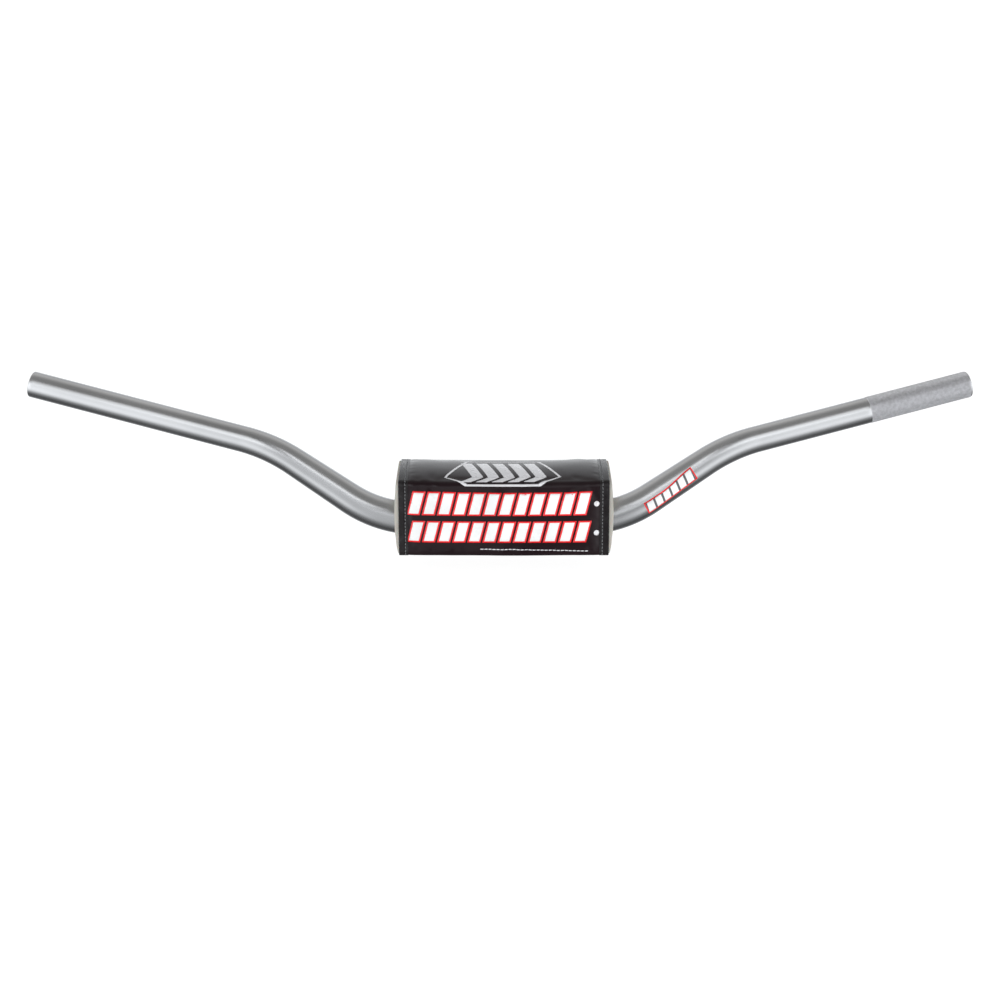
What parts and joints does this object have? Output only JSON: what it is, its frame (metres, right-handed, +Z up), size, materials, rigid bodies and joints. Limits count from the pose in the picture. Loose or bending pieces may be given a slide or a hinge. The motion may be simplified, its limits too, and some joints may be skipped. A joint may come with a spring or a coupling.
{
  "type": "motorcycle handlebar with clamp pad",
  "caption": "Wide tapered off-road motorcycle handlebar without a crossbar, with a knurled grip end and a removable strapped foam pad over its clamp zone.",
  "frame": {"origin": "on the bar's axis, in the middle of the clamp zone", "axes": "+X along the bar to the rider's left, -Y to the front of the motorcycle, +Z up; the ends sweep to +Y and rise to +Z"},
  "size_m": [0.7988, 0.0997, 0.139],
  "materials": {
    "bar_alloy": "satin anodised titanium grey",
    "decal_film": "gloss printed film",
    "pad_foam": "closed-cell foam, cut face",
    "pad_vinyl": "gloss coated fabric",
    "binding_tape": "gloss coated tape",
    "thread": "polyester thread",
    "strap_webbing": "woven webbing",
    "hook_tape": "moulded hooks",
    "loop_tape": "napped loops"
  },
  "bodies": {
    "bar": {"bar_tube": "bar_alloy", "bar_decal": "decal_film"},
    "pad": {"foam_block": "pad_foam", "cover_panel": "pad_vinyl", "left_edge_binding": "binding_tape", "right_edge_binding": "binding_tape", "left_binding_thread": "thread", "right_binding_thread": "thread", "loop_patch_left": "loop_tape", "loop_patch_thread_left": "thread", "strap_anchor_thread_left": "thread", "loop_patch_right": "loop_tape", "loop_patch_thread_right": "thread", "strap_anchor_thread_right": "thread"},
    "left_strap": {"strap_left": "strap_webbing", "hook_patch_left": "hook_tape", "hook_patch_thread_left": "thread"},
    "right_strap": {"strap_right": "strap_webbing", "hook_patch_right": "hook_tape", "hook_patch_thread_right": "thread"}
  },
  "joints": [
    {"name": "pad_lift", "type": "slide", "parent": "bar", "child": "pad", "axis": [0, 0, 1], "range_m": [0, 0.045]},
    {"name": "left_strap_peel", "type": "hinge", "parent": "pad", "child": "left_strap", "pos_m": [0.0697, -0.028, -0.0219], "axis": [-1, 0, 0], "range_deg": [0, 90]},
    {"name": "right_strap_peel", "type": "hinge", "parent": "pad", "child": "right_strap", "pos_m": [-0.0633, -0.028, -0.0219], "axis": [-1, 0, 0], "range_deg": [0, 90]}
  ],
  "couplings": [
    {"joint": "left_strap_peel", "follows": "pad_lift", "rad_per_m": 34.9},
    {"joint": "right_strap_peel", "follows": "pad_lift", "rad_per_m": 34.9}
  ]
}
